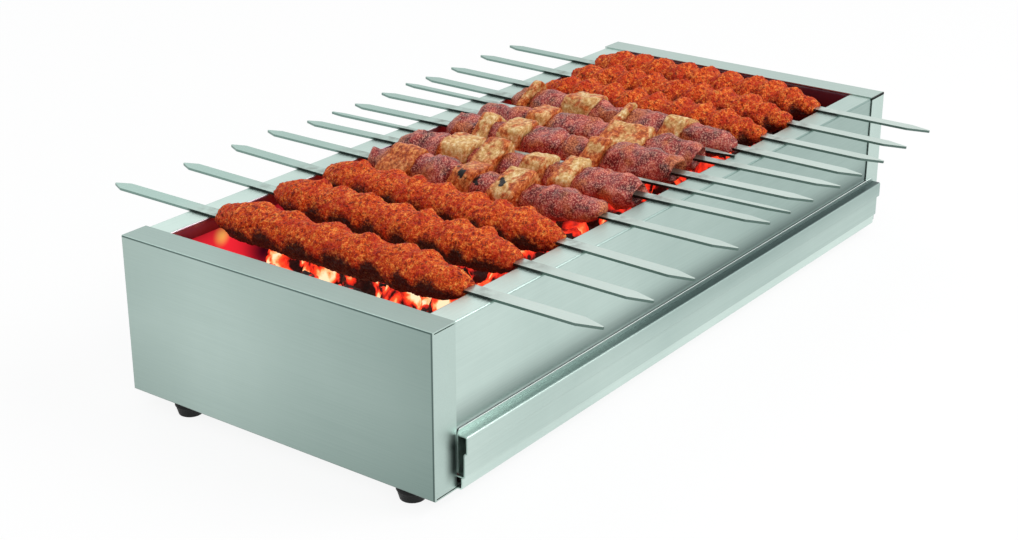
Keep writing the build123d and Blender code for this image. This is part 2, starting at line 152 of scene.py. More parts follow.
class Shader:
    """A small wrapper round a material's nodes, so that a recipe reads as a few lines."""

    def __init__(self, name):
        self.material = bpy.data.materials.new(name)
        self.material.use_nodes = True
        self.tree = self.material.node_tree
        self.bsdf = self.tree.nodes["Principled BSDF"]
        self.coords = self.tree.nodes.new("ShaderNodeTexCoord").outputs["Object"]

    def put(self, socket, value):
        if isinstance(value, bpy.types.NodeSocket):
            self.tree.links.new(value, socket)
        elif socket.type == "RGBA" and len(value) == 3:
            socket.default_value = (*value, 1.0)
        else:
            socket.default_value = value

    def set(self, **values):
        for name, value in values.items():
            self.put(self.bsdf.inputs[name.replace("_", " ")], value)

    def tone(self):
        return self.bsdf.inputs["Base Color"].links[0].from_socket

    def stretch(self, factors):
        node = self.tree.nodes.new("ShaderNodeMapping")
        self.put(node.inputs["Vector"], self.coords)
        node.inputs["Scale"].default_value = factors
        return node.outputs["Vector"]

    def noise(self, scale, detail=4.0, roughness=0.55, vector=None, distortion=0.0):
        node = self.tree.nodes.new("ShaderNodeTexNoise")
        self.put(node.inputs["Vector"], vector or self.coords)
        node.inputs["Scale"].default_value = scale
        node.inputs["Detail"].default_value = detail
        node.inputs["Roughness"].default_value = roughness
        node.inputs["Distortion"].default_value = distortion
        return node.outputs["Fac"]

    def cells(self, scale):
        """The distance to the nearest of a scatter of points."""
        node = self.tree.nodes.new("ShaderNodeTexVoronoi")
        self.put(node.inputs["Vector"], self.coords)
        node.inputs["Scale"].default_value = scale
        return node.outputs["Distance"]

    def math(self, operation, a, b=0.0, c=0.0):
        node = self.tree.nodes.new("ShaderNodeMath")
        node.operation = operation
        for socket, value in zip(node.inputs, (a, b, c)):
            self.put(socket, value)
        return node.outputs["Value"]

    def times(self, first, *others):
        """All the values multiplied, from the left."""
        for other in others:
            first = self.math("MULTIPLY", first, other)
        return first

    def invert(self, value):
        return self.math("SUBTRACT", 1.0, value)

    def span(self, value, low, high, to_low=0.0, to_high=1.0, smooth=False):
        """A value that runs from to_low at low to to_high at high, and stays there beyond them."""
        node = self.tree.nodes.new("ShaderNodeMapRange")
        if smooth:
            node.interpolation_type = "SMOOTHSTEP"
        for name, number in (("Value", value), ("From Min", low), ("From Max", high),
                             ("To Min", to_low), ("To Max", to_high)):
            self.put(node.inputs[name], number)
        return node.outputs["Result"]

    def ramp(self, value, *stops):
        node = self.tree.nodes.new("ShaderNodeValToRGB")
        self.put(node.inputs["Fac"], value)
        elements = node.color_ramp.elements
        while len(elements) < len(stops):
            elements.new(0.5)
        for element, (position, colour) in zip(elements, stops):
            element.position = position
            element.color = (*colour, 1.0)
        return node.outputs["Color"]

    def mix(self, share, a, b):
        """Colour a, with b taking over as share goes from 0 to 1."""
        node = self.tree.nodes.new("ShaderNodeMix")
        node.data_type = "RGBA"
        for socket, value in ((node.inputs[0], share), (node.inputs[6], a), (node.inputs[7], b)):
            self.put(socket, value)
        return node.outputs[2]

    def part(self, vector, axis):
        node = self.tree.nodes.new("ShaderNodeSeparateXYZ")
        self.put(node.inputs[0], vector)
        return node.outputs[axis]

    def place(self, axis):
        return self.part(self.coords, axis)

    def band(self, axis, places, to_low=0.0, to_high=1.0, smooth=False):
        """A span between two places along an axis of the frame."""
        return self.span(self.place(axis), *places, to_low, to_high, smooth)

    def facing(self, axis):
        """How far the surface faces along an axis, -1 to 1."""
        node = self.tree.nodes.new("ShaderNodeNewGeometry")
        return self.part(node.outputs["True Normal"], axis)

    def attribute(self, name):
        node = self.tree.nodes.new("ShaderNodeAttribute")
        node.attribute_name = name
        return node.outputs["Fac"]

    def bump(self, height, distance, strength=1.0, under=None):
        node = self.tree.nodes.new("ShaderNodeBump")
        node.inputs["Strength"].default_value = strength
        node.inputs["Distance"].default_value = distance
        self.put(node.inputs["Height"], height)
        if under is not None:
            self.put(node.inputs["Normal"], under)
        self.put(self.bsdf.inputs["Normal"], node.outputs["Normal"])
        return node.outputs["Normal"]


def srgb(red, green, blue):
    """A colour as it looks on screen, 0 to 255, turned into linear light."""
    return tuple(((c / 255 + 0.055) / 1.055) ** 2.4 if c > 10 else c / 3295 for c in (red, green, blue))


# Places on the case and skewers in metres, each the start and end of a change in a finish or in painted
# light and shade

panel_low, panel_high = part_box("front_panel")
cap_low, cap_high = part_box("left_end_cap")
ledge_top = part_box("drawer_face")[1].z

TINT_Z = (0.100, 0.1625)
LIP_Z = (0.140, 0.145)
INSIDE_X = (0.3700, 0.3706)
INSIDE_Y = (0.1476, 0.1492)

PANEL_FACE_Y = (panel_low.y + 0.0016, panel_low.y + 0.0006)
PANEL_RAIL_Z = (panel_high.z - 0.0038, panel_high.z - 0.0018)
PANEL_HIGHLIGHT_Z = (ledge_top + 0.0011, ledge_top + 0.0023)
PANEL_LEDGE_SHADE_Z = (0.064, 0.098)
PANEL_SHADE_X = (-0.34, 0.16)
PANEL_RAIL_SHADE_X = (-0.34, 0.0)
PANEL_BEND_SHADE_X = (-0.34, 0.05)
PANEL_HIGHLIGHT_X = (-0.36, 0.0)
PANEL_GAP_SHADOW_X = (0.3677, 0.3683)

CAP_FACE_Y = (cap_low.y + 0.0015, cap_low.y + 0.0005)
CAP_SEAM_Z = (cap_high.z - 0.0028, cap_high.z - 0.0025)
CAP_LENGTH_Y = (cap_low.y, cap_high.y)
CAP_FRONT_Y = (0.06, cap_low.y)
CAP_BACK_Y = (0.09, cap_high.y)
CAP_LOW_Z = (0.09, cap_low.z)
CAP_TOP_X = (-0.30, 0.30)
LEFT_HALF_X = (-0.01, 0.01)
CHANNEL_SHADE_X = (-0.388, -0.373)
CHANNEL_SHADE_TOP_Z = (0.052, 0.068)
CHANNEL_SHADE_LOW_Z = (0.018, 0.034)

DRAWER_SHADE_X = (-0.30, 0.05)
DRAWER_UPPER_SHADE_Z = (0.040, 0.060)
LEDGE_SHADE_X = (-0.37, 0.37)
LEDGE_SHADE_Z = (ledge_top - 0.0025, ledge_top - 0.0010)
DRAWER_HIGHLIGHT_Z = (ledge_top - 0.0010, ledge_top - 0.0004)

WALL_GLOW_Z = (0.134, 0.160)
WALL_GLOW_X = (0.0, -0.30)
WALL_DARK_X = (0.10, 0.34)
# Where the back wall's painted glow of the coals' light is brightest at its left end and where it is dimmed,
# with the radii
BRIGHTEST_GLOW, BRIGHTEST_GLOW_RADIUS = (-0.304, 0.148, 0.139), 0.013
DIMMEST_GLOW, DIMMEST_GLOW_RADIUS = (-0.250, 0.148, 0.108), 0.034

SKEWER_FAR_Y = (0.10, 0.20)
SKEWER_FOOD_Y = (0.150, 0.185)
SKEWER_RAIL_Y = (0.170, 0.176)
SKEWER_LENGTH_Y = (0.0, 0.20)


# Steel finishes

STEEL = srgb(202, 220, 213)
STEEL_DULL = srgb(182, 203, 196)
PAINTED_SHADE_STEEL = srgb(120, 148, 141)
GRAIN_SHADE = (0.12, 0.16, 0.15)
# How far the grain noise is squeezed across the brushing and along it
GRAIN_ACROSS = 900.0
GRAIN_ALONG = 7.0
# Painted shade on the ledge: places from its left end, 0, to its right, 1, and its strength there
LEDGE_SHADE = ((0.02, 0.36), (0.22, 0.66), (0.50, 0.92), (1.00, 0.92))


def brushed(name, along, colour=STEEL, dull=STEEL_DULL, roughness=0.36, grain=1.0):
    """Brushed sheet with fine straight grain along one axis, faint smudges and a soft sheen."""
    steel = Shader(name)
    squeeze = [GRAIN_ACROSS] * 3
    squeeze["XYZ".index(along)] = GRAIN_ALONG
    lines = steel.noise(1.0, 3.0, 0.6, steel.stretch(squeeze))
    smudges = steel.noise(5.0, 4.0, 0.6)
    tone = steel.mix(steel.span(smudges, 0.35, 0.7), dull, colour)
    tone = steel.mix(steel.span(lines, 0.3, 0.7, 0.0, 0.05 * grain), tone, GRAIN_SHADE)
    shine = steel.span(lines, 0.3, 0.7, roughness - 0.05, roughness + 0.07)
    shine = steel.math("ADD", shine, steel.span(smudges, 0.4, 0.75, 0.0, 0.06))
    steel.set(Base_Color=tone, Metallic=1.0, Roughness=shine)
    steel.bump(lines, 0.00004 * grain, 0.5)
    return steel


def heat_tint(steel, share):
    """A steel's tone blended into the colours that heat leaves, by height above the coals."""
    height = steel.math("ADD", steel.place("Z"), steel.span(steel.noise(24.0), 0.3, 0.7, -0.004, 0.004))
    burnt = steel.ramp(
        steel.span(height, *TINT_Z),
        (0.0, srgb(24, 8, 8)),
        (0.45, srgb(70, 16, 22)),
        (0.72, srgb(122, 52, 78)),
        (0.9, srgb(160, 100, 132)),
        (1.0, srgb(196, 176, 180)),
    )
    return steel.mix(share, steel.tone(), burnt)


def case_steel(name, along, **looks):
    """Case sheet: brushed, and heat tinted on the lips that face the fire."""
    steel = brushed(name, along, **looks)
    inside_y = steel.span(steel.math("ABSOLUTE", steel.place("Y")), *INSIDE_Y, 1.0, 0.0, smooth=True)
    inside_x = steel.span(steel.math("ABSOLUTE", steel.place("X")), *INSIDE_X, 1.0, 0.0)
    upright = steel.span(steel.math("ABSOLUTE", steel.facing("Z")), 0.5, 0.9, 1.0, 0.0)
    share = steel.times(inside_y, inside_x, upright, steel.band("Z", LIP_Z))
    steel.set(Base_Color=heat_tint(steel, share))
    return steel


def slant(steel, facing):
    """How far a surface lies between two flat faces, most in the bend between them."""
    level = steel.math("SQRT", steel.invert(steel.times(facing, facing)))
    return steel.times(facing, level)


def panel_steel():
    """Front panel: painted shade towards the right, less on the rail, painted shade on the rail's bend and
    above the ledge, a painted highlight strip by the ledge and a painted shadow in the gap beside the right
    cap.
    """
    steel = case_steel("panel_steel", "X", colour=srgb(216, 234, 227), dull=srgb(198, 218, 211))
    upward = steel.facing("Z")
    face = steel.band("Y", PANEL_FACE_Y)
    # Painted shade: the face darkens towards the right end, and the rail top does so less
    shaded_right = steel.times(steel.band("X", PANEL_SHADE_X, 0.0, 0.60), face)
    tone = steel.mix(shaded_right, steel.tone(), PAINTED_SHADE_STEEL)
    rail = steel.times(steel.span(upward, 0.7, 0.95), steel.band("Z", PANEL_RAIL_Z))
    rail = steel.times(rail, steel.band("X", PANEL_RAIL_SHADE_X, 0.0, 0.36))
    tone = steel.mix(rail, tone, PAINTED_SHADE_STEEL)
    # Painted shade on the bend from rail to face, dimming its highlight more towards the right
    bend = steel.span(slant(steel, upward), 0.10, 0.25)
    bend = steel.times(bend, steel.band("X", PANEL_BEND_SHADE_X, 0.25, 0.50))
    tone = steel.mix(bend, tone, srgb(110, 136, 130))
    # Painted shade on the face just above the drawer's ledge
    ledge_shade = steel.times(steel.band("Z", PANEL_LEDGE_SHADE_Z, 1.0, 0.0, smooth=True), face, 0.62)
    tone = steel.mix(ledge_shade, tone, srgb(84, 100, 98))
    # Painted highlight: a pale, less metallic strip along the face's bottom edge by the ledge, dimmed to
    # painted shade towards the right
    highlight_strip = steel.times(steel.band("Z", PANEL_HIGHLIGHT_Z, 1.0, 0.0), face)
    highlight_tone = steel.mix(steel.band("X", PANEL_HIGHLIGHT_X), srgb(186, 204, 198), srgb(132, 154, 148))
    tone = steel.mix(highlight_strip, tone, highlight_tone)
    # Painted shadow: a near-black line in the gap beside the right cap's flange
    gap = steel.times(steel.band("X", PANEL_GAP_SHADOW_X), face)
    tone = steel.mix(gap, tone, srgb(16, 22, 20))
    steel.set(Base_Color=tone, Metallic=steel.math("MULTIPLY_ADD", highlight_strip, -0.9, 1.0))
    return steel


def cap_painted_shade(steel, endward):
    """How much painted shade an end cap gets: more towards the front and back of its ends, low down and
    along its top.
    """
    towards_front = steel.band("Y", CAP_FRONT_Y, 0.0, 0.34)
    towards_back = steel.band("Y", CAP_BACK_Y, 0.20, 0.30)
    dull = steel.times(steel.math("ADD", towards_front, towards_back), steel.span(endward, 0.4, 0.8))
    dull = steel.math("ADD", dull, steel.band("Z", CAP_LOW_Z, 0.0, 0.14))
    top = steel.times(steel.span(steel.facing("Z"), 0.4, 0.8), steel.band("X", CAP_TOP_X, 1.0, 0.45))
    return steel.math("MULTIPLY_ADD", top, steel.band("Y", CAP_LENGTH_Y, 0.44, 0.56), dull)


def channel_shade(steel, left_flange):
    """Shade on the left cap's front flange, beside the open end of the handle channel."""
    beside = steel.times(steel.band("X", CHANNEL_SHADE_X, smooth=True), left_flange)
    upper = steel.band("Z", CHANNEL_SHADE_TOP_Z, 1.0, 0.0, smooth=True)
    lower = steel.band("Z", CHANNEL_SHADE_LOW_Z, smooth=True)
    return steel.times(beside, steel.times(upper, lower), 0.85)


def cap_steel():
    """End caps: grain across the case, painted shade towards front, back, bottom and along the top, painted
    shade beside the handle channel, dark along the bends and in the right front seam.
    """
    steel = case_steel("cap_steel", "Y", colour=srgb(202, 221, 214), dull=srgb(192, 212, 205))
    endward = steel.math("ABSOLUTE", steel.facing("X"))
    # Painted shade: darker towards the front and back of the ends, low down and along the top
    tone = steel.mix(cap_painted_shade(steel, endward), steel.tone(), srgb(70, 98, 92))
    bend = steel.span(slant(steel, endward), 0.30, 0.45, 0.0, 0.75)
    tone = steel.mix(bend, tone, srgb(46, 66, 62))
    flange = steel.band("Y", CAP_FACE_Y)
    left = steel.band("X", LEFT_HALF_X, 1.0, 0.0)
    tone = steel.mix(channel_shade(steel, steel.times(left, flange)), tone, srgb(30, 44, 42))
    seam = steel.times(steel.band("Z", CAP_SEAM_Z), flange, steel.invert(left))
    steel.set(Base_Color=steel.mix(seam, tone, srgb(18, 24, 22)))
    return steel


def drawer_steel():
    """Drawer front: bright faces with painted shade towards the right and on the upper face, painted shade
    on the ledge and a painted highlight along the plate's top rim.
    """
    steel = brushed("drawer_steel", "X", srgb(212, 230, 223), srgb(196, 216, 209))
    upward = steel.span(steel.facing("Z"), 0.6, 0.95)
    # Painted shade: the face darkens towards the right, most on its upper part
    tone = steel.mix(steel.band("X", DRAWER_SHADE_X, 0.0, 0.36), steel.tone(), srgb(134, 160, 155))
    upper_shade = steel.times(steel.band("Z", DRAWER_UPPER_SHADE_Z), steel.band("X", DRAWER_SHADE_X, 0.0, 0.30))
    tone = steel.mix(upper_shade, tone, srgb(96, 124, 120))
    # Painted shade on the ledge's top, stronger towards the right
    stops = [(place, (share, share, share)) for place, share in LEDGE_SHADE]
    ledge_shade = steel.ramp(steel.band("X", LEDGE_SHADE_X), *stops)
    ledge_shade = steel.times(ledge_shade, upward, steel.band("Z", LEDGE_SHADE_Z, 1.0, 0.0))
    tone = steel.mix(ledge_shade, tone, srgb(76, 88, 90))
    # Painted highlight: a near-white, non-metal line along the top of the plate
    highlight_rim = steel.times(upward, steel.band("Z", DRAWER_HIGHLIGHT_Z))
    steel.set(Base_Color=steel.mix(highlight_rim, tone, (0.95, 0.98, 0.97)), Metallic=steel.invert(highlight_rim))
    return steel


def spot(steel, middle, radius):
    """A soft round patch in a material, full strength at its middle."""
    node = steel.tree.nodes.new("ShaderNodeVectorMath")
    node.operation = "DISTANCE"
    steel.put(node.inputs[0], steel.coords)
    steel.put(node.inputs[1], middle)
    return steel.span(node.outputs["Value"], 0.0, radius, 1.0, 0.0, smooth=True)


def tinted_wall(name, along):
    """Firebox wall: heat tinted, with a painted glow of the coals' light low down towards the left end, and
    darker at the right.
    """
    steel = brushed(name, along, roughness=0.42)
    # Painted light: emission for the coals' glow on the wall, low down towards the left, with a bright spot
    # and a dim spot
    hot = steel.band("Z", WALL_GLOW_Z, 1.0, 0.0, smooth=True)
    hot = steel.times(hot, steel.span(steel.noise(11.0, 2.0), 0.35, 0.65, 0.45, 1.0))
    hot = steel.times(hot, steel.band("X", WALL_GLOW_X))
    glow = steel.mix(spot(steel, BRIGHTEST_GLOW, BRIGHTEST_GLOW_RADIUS), (0.90, 0.018, 0.035), (1.0, 0.45, 0.10))
    dimmed_glow = steel.mix(spot(steel, DIMMEST_GLOW, DIMMEST_GLOW_RADIUS), glow, (0.03, 0.001, 0.008))
    right_end = steel.band("X", WALL_DARK_X, 0.0, 0.8)
    tint = steel.mix(right_end, heat_tint(steel, 1.0), srgb(64, 28, 32))
    emission = steel.mix(hot, (0.0, 0.0, 0.0), dimmed_glow)
    steel.set(Base_Color=tint, Metallic=0.85, Emission_Color=emission, Emission_Strength=1.15)
    return steel


def skewer_steel():
    """Flat bar: brushed along its length on top, darker on the sheared edges, partly as painted shade, with
    a painted shadow from the food to the rail's edge, and smoked by the food.
    """
    steel = brushed("skewer_steel", "Y", srgb(205, 219, 213), srgb(190, 206, 199), 0.38)
    outward = steel.math("ABSOLUTE", steel.place("Y"))
    tone = steel.mix(steel.band("Y", SKEWER_FAR_Y, 0.0, 0.75), steel.tone(), srgb(140, 172, 163))
    smoke = steel.span(steel.noise(90.0, 4.0, 0.6), 0.40, 0.65)
    smoke = steel.times(smoke, steel.span(outward, *SKEWER_FOOD_Y, 1.0, 0.0, smooth=True), 0.55)
    tone = steel.mix(smoke, tone, srgb(84, 84, 76))
    edge_tone = steel.mix(steel.band("Y", SKEWER_LENGTH_Y), srgb(92, 114, 107), srgb(120, 146, 138))
    # Painted shade on the sideways faces, and a near-black painted shadow on them from the food out to the
    # rail's edge
    sideways = steel.span(steel.math("ABSOLUTE", steel.facing("X")), 0.6, 0.8)
    rail_shadow = steel.times(steel.span(outward, *SKEWER_RAIL_Y, 1.0, 0.0), sideways)
    edge_tone = steel.mix(rail_shadow, edge_tone, srgb(22, 30, 28))
    edge = steel.span(steel.math("ABSOLUTE", steel.facing("Z")), 0.3, 0.8, 0.95, 0.0)
    steel.set(Base_Color=steel.mix(edge, tone, edge_tone))
    return steel


def sooty_steel():
    """Grate: blackened, rough where the soot is thick."""
    steel = Shader("sooty_steel")
    patches = steel.noise(30.0, 6.0, 0.65)
    tone = steel.mix(patches, (0.012, 0.010, 0.010), (0.07, 0.05, 0.045))
    steel.set(Base_Color=tone, Metallic=0.5, Roughness=steel.span(patches, 0.3, 0.7, 0.55, 0.85))
    steel.bump(patches, 0.0004, 0.5)
    return steel


def fastener_steel():
    """Screws, nuts and rivets: bright metal with fine scuffs."""
    steel = Shader("fastener_steel")
    scuffs = steel.noise(350.0, 4.0, 0.6)
    tone = steel.mix(scuffs, srgb(178, 184, 182), srgb(205, 210, 208))
    steel.set(Base_Color=tone, Metallic=1.0, Roughness=steel.span(scuffs, 0.3, 0.7, 0.28, 0.45))
    steel.bump(scuffs, 0.00005, 0.4)
    return steel


# Rubber, food and charcoal

def foot_rubber():
    """Black rubber with a little dust."""
    black = Shader("foot_rubber")
    grain = black.noise(900.0, 3.0)
    dust = black.noise(60.0, 4.0)
    tone = black.mix(dust, srgb(5, 7, 7), srgb(16, 19, 19))
    black.set(Base_Color=tone, Roughness=black.span(grain, 0.3, 0.7, 0.5, 0.7), Specular_IOR_Level=0.22)
    black.bump(grain, 0.00008, 0.5)
    return black


def kofte_skin():
    """Grilled mince: grainy orange brown with red and dark specks, charred and with painted shade underneath
    and in the hollows.
    """
    mince = Shader("kofte")
    grains = mince.cells(400.0)
    fine = mince.noise(760.0, 4.0, 0.65)
    middling = mince.noise(240.0, 4.0, 0.6)
    patches = mince.noise(62.0, 3.0, 0.55)
    blended = mince.math("ADD", mince.times(middling, 0.5), mince.times(fine, 0.5))
    tone = mince.ramp(
        blended,
        (0.36, srgb(104, 14, 0)),
        (0.44, srgb(186, 50, 6)),
        (0.52, srgb(226, 86, 18)),
        (0.60, srgb(252, 158, 74)),
    )
    tone = mince.mix(mince.span(patches, 0.46, 0.62, 0.0, 0.6), tone, srgb(186, 32, 10))
    specks = mince.times(mince.span(mince.noise(260.0, 3.0, 0.55), 0.57, 0.65), 0.75)
    tone = mince.mix(specks, tone, srgb(96, 8, 4))
    # The char attribute holds char and painted shade underneath and in the hollows
    burnt = mince.math("MULTIPLY_ADD", blended, -1.8, mince.math("ADD", mince.attribute("char"), 0.9))
    tone = mince.mix(mince.span(burnt, 0.12, 0.85, 0.0, 0.95), tone, srgb(30, 8, 4))
    mince.set(Base_Color=tone, Roughness=mince.span(fine, 0.3, 0.7, 0.50, 0.75), Specular_IOR_Level=0.22,
              Subsurface_Weight=0.05, Subsurface_Radius=(0.003, 0.001, 0.0005))
    coarse = mince.bump(grains, 0.0016, 1.0)
    mince.bump(fine, 0.0010, 0.8, under=coarse)
    return mince


def charred(skin, fibres, tone):
    """Blackens a skin where its char attribute is high, with a fibrous border."""
    share = skin.span(skin.math("MULTIPLY_ADD", fibres, 0.5, skin.attribute("char")), 0.50, 0.85)
    return skin.mix(share, tone, srgb(14, 8, 8))


def lamb_skin():
    """Seared lamb: purple maroon with pale speckle, browned in patches."""
    meat = Shader("lamb")
    fibres = meat.noise(620.0, 3.0, 0.7)
    mottle = meat.noise(80.0, 5.0, 0.6)
    patches = meat.noise(34.0, 3.0, 0.5)
    tone = meat.ramp(
        mottle,
        (0.34, srgb(70, 8, 12)),
        (0.45, srgb(124, 20, 26)),
        (0.54, srgb(160, 42, 40)),
        (0.66, srgb(204, 100, 78)),
    )
    tone = meat.mix(meat.span(fibres, 0.51, 0.62, 0.0, 0.72), tone, srgb(230, 166, 142))
    tone = meat.mix(meat.span(meat.cells(460.0), 0.30, 0.12, 0.0, 0.40), tone, srgb(240, 196, 174))
    tone = meat.mix(meat.span(fibres, 0.36, 0.46, 0.65, 0.0), tone, srgb(48, 4, 8))
    browned = meat.mix(meat.span(fibres, 0.4, 0.6), srgb(130, 48, 18), srgb(214, 126, 70))
    tone = meat.mix(meat.span(patches, 0.52, 0.62, 0.0, 0.75), tone, browned)
    tone = charred(meat, fibres, tone)
    meat.set(Base_Color=tone, Roughness=meat.span(mottle, 0.3, 0.7, 0.34, 0.5), Specular_IOR_Level=0.36,
             Subsurface_Weight=0.06, Subsurface_Radius=(0.005, 0.0015, 0.001))
    coarse = meat.bump(mottle, 0.0012, 0.6)
    meat.bump(fibres, 0.0007, 0.7, under=coarse)
    return meat


def fat_skin():
    """Tail fat: cream yellow, toasted orange brown in patches and by its toast attribute."""
    fat = Shader("tail_fat")
    fibres = fat.noise(560.0, 4.0, 0.6)
    mottle = fat.noise(260.0, 4.0, 0.65)
    patches = fat.noise(60.0, 5.0, 0.6)
    creams = ((0.34, srgb(182, 122, 60)), (0.5, srgb(212, 168, 104)), (0.66, srgb(240, 218, 168)))
    browns = ((0.36, srgb(128, 38, 6)), (0.5, srgb(188, 80, 24)), (0.64, srgb(228, 146, 76)))
    toast = fat.math("ADD", fat.span(patches, 0.44, 0.60, 0.0, 0.75), fat.attribute("toast"))
    toast = fat.math("MULTIPLY_ADD", fibres, 0.6, toast)
    toast = fat.span(toast, 0.66, 1.35, 0.0, 0.95, smooth=True)
    tone = charred(fat, fibres, fat.mix(toast, fat.ramp(mottle, *creams), fat.ramp(mottle, *browns)))
    fat.set(Base_Color=tone, Roughness=fat.span(fibres, 0.3, 0.7, 0.34, 0.55), Specular_IOR_Level=0.25,
            Subsurface_Weight=0.15, Subsurface_Radius=(0.004, 0.003, 0.0015))
    coarse = fat.bump(mottle, 0.0010, 0.6)
    fat.bump(fibres, 0.0004, 0.5, under=coarse)
    return fat


# Where along the case the coals turn from calm red to white hot
HOT_COALS_X = (-0.14, -0.24)


def charcoal_skin():
    """Charcoal: black crust with ash on it, calm red with round black spots, white hot at the left end."""
    coal = Shader("charcoal")
    broad = coal.noise(17.0, 1.0, 0.5)
    middling = coal.noise(40.0, 2.0, 0.45, distortion=0.7)
    fine = coal.noise(240.0, 5.0, 0.65)
    level = coal.math("MULTIPLY_ADD", broad, 1.2, coal.attribute("heat"))
    level = coal.math("MULTIPLY_ADD", middling, 3.3, level)
    level = coal.math("MULTIPLY_ADD", fine, 0.45, level)
    hot = coal.span(level, 2.02, 3.42)
    calm = coal.math("MULTIPLY_ADD", hot, 0.50, 0.17)
    spots = coal.span(coal.cells(60.0), 0.20, 0.28, 1.0, 0.0)
    calm = coal.math("MULTIPLY_ADD", spots, -0.3, calm)
    at_left = coal.band("X", HOT_COALS_X)
    glow = coal.ramp(
        coal.math("MULTIPLY_ADD", coal.math("SUBTRACT", hot, calm), at_left, calm),
        (0.00, (0.0, 0.0, 0.0)),
        (0.27, (0.012, 0.0004, 0.0)),
        (0.32, (0.30, 0.006, 0.004)),
        (0.42, (0.80, 0.025, 0.008)),
        (0.54, (1.0, 0.09, 0.02)),
        (0.62, (1.0, 0.40, 0.15)),
        (0.72, (0.96, 0.68, 0.42)),
    )
    crust = coal.ramp(
        fine,
        (0.35, (0.006, 0.004, 0.004)),
        (0.60, (0.028, 0.018, 0.016)),
        (0.78, (0.16, 0.12, 0.11)),
    )
    coal.set(Base_Color=crust, Roughness=0.85, Emission_Color=glow, Emission_Strength=1.3)
    coal.bump(coal.math("ADD", middling, fine), 0.0016, 0.8)
    return coal


# Finishes of the CAD nodes

FEET = ("front_left_foot", "back_left_foot", "front_right_foot", "back_right_foot")
SKEWERS = tuple(name for name in nodes if name.startswith("skewer_"))

rubber = foot_rubber()
FINISHES = (
    (panel_steel(), ("front_panel",)),
    (case_steel("case_steel", "X"), ("back_panel",)),
    (cap_steel(), ("left_end_cap", "right_end_cap")),
    (drawer_steel(), ("drawer_face", "drawer_handle_channel")),
    (brushed("sill_steel", "X", srgb(218, 236, 229), srgb(204, 224, 217)), ("drawer_sill",)),
    (brushed("mill_steel", "Y", srgb(188, 196, 193), srgb(160, 170, 167), 0.42, 2.0),
     ("base_pan", "ash_tray", "left_drawer_guide", "right_drawer_guide")),
    (tinted_wall("tinted_long_wall", "X"), ("firebox_front_wall", "firebox_back_wall")),
    (tinted_wall("tinted_end_wall", "Y"), ("firebox_left_wall", "firebox_right_wall")),
    (sooty_steel(), ("charcoal_grate",)),
    (fastener_steel(), ("drawer_rivets", "foot_screws", "foot_nuts")),
    (skewer_steel(), SKEWERS),
    (rubber, FEET),
)
for finish, names in FINISHES:
    for name in names:
        nodes[name].data.materials.clear()
        nodes[name].data.materials.append(finish.material)

kofte_brown = kofte_skin().material
lamb_red = lamb_skin().material
fat_cream = fat_skin().material
coal_glow = charcoal_skin().material


# Feet: tapered rubber round the CAD's screw hole and recess

FOOT_SIDES = 64
FOOT_SHARP_ANGLE = math.radians(40)
# Radius and height of the profile's corners, in millimetres
FOOT_PROFILE = (
    (2.2, 5.0), (5.5, 5.0), (5.5, 0.8), (6.1, 0.2), (6.6, 0.0), (10.2, 0.0), (10.9, 0.4), (11.2, 1.2),
    (13.1, 8.2), (13.6, 8.7), (13.9, 9.3), (13.9, 12.3), (13.6, 12.8), (13.0, 13.0), (2.2, 13.0),
)


def build_foot(node):
    """A moulded foot turned from its profile round its own axis."""
    low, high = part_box(node)
    x, y = (low.x + high.x) / 2, (low.y + high.y) / 2
    points, faces = [], []
    for k in range(FOOT_SIDES):
        turn = 2 * math.pi * k / FOOT_SIDES
        for radius, height in FOOT_PROFILE:
            points.append((x + radius * MM * math.cos(turn), y + radius * MM * math.sin(turn), height * MM))
    steps = len(FOOT_PROFILE)
    for k in range(FOOT_SIDES):
        here, after = k * steps, (k + 1) % FOOT_SIDES * steps
        for step in range(steps):
            following = (step + 1) % steps
            faces.append((here + step, after + step, after + following, here + following))
    piece = new_piece(f"tapered_{node}", points, faces, "case", rubber.material)
    piece.data.set_sharp_from_angle(angle=FOOT_SHARP_ANGLE)
    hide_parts(node)


for foot in FEET:
    build_foot(foot)


# Charcoal and embers

LUMP_BEVEL = 0.0028
LUMP_EDGE = 0.006
LUMP_REACH = 0.022
HOT_END_REACH = 0.09
EMBER_STEP = 0.0035
EMBER_EDGE = 0.010


def add_attribute(piece, name, values):
    attribute = piece.data.attributes.new(name, "FLOAT", "POINT")
    attribute.data.foreach_set("value", np.array(values, np.float32))


def lump_skin(points, faces, seed):
    """A broken lump: the CAD solid cut finer, softened a little and pitted by noise."""
    shape = bmesh.new()
    verts = [shape.verts.new(p) for p in points]
    for face in faces:
        shape.faces.new([verts[k] for k in face])
    bmesh.ops.dissolve_limit(shape, angle_limit=0.05, verts=shape.verts, edges=shape.edges)
    bmesh.ops.bevel(shape, geom=shape.edges[:], offset=LUMP_BEVEL, segments=2, affect="EDGES",
                    clamp_overlap=True)
    bmesh.ops.triangulate(shape, faces=shape.faces)
    for cuts in (2, 1):
        long_edges = [edge for edge in shape.edges if edge.calc_length() > LUMP_EDGE]
        bmesh.ops.subdivide_edges(shape, edges=long_edges, cuts=cuts, use_grid_fill=True)
    bmesh.ops.triangulate(shape, faces=shape.faces)
    shape.normal_update()
    moved = []
    for vert in shape.verts:
        dents = wavy(vert.co, 70.0, seed) * 0.0022 + wavy(vert.co, 260.0, seed) * 0.0008
        moved.append(vert.co + vert.normal * (dents - 0.0006))
    shape.verts.index_update()
    skin_faces = [[v.index for v in face.verts] for face in shape.faces]
    shape.free()
    return moved, skin_faces


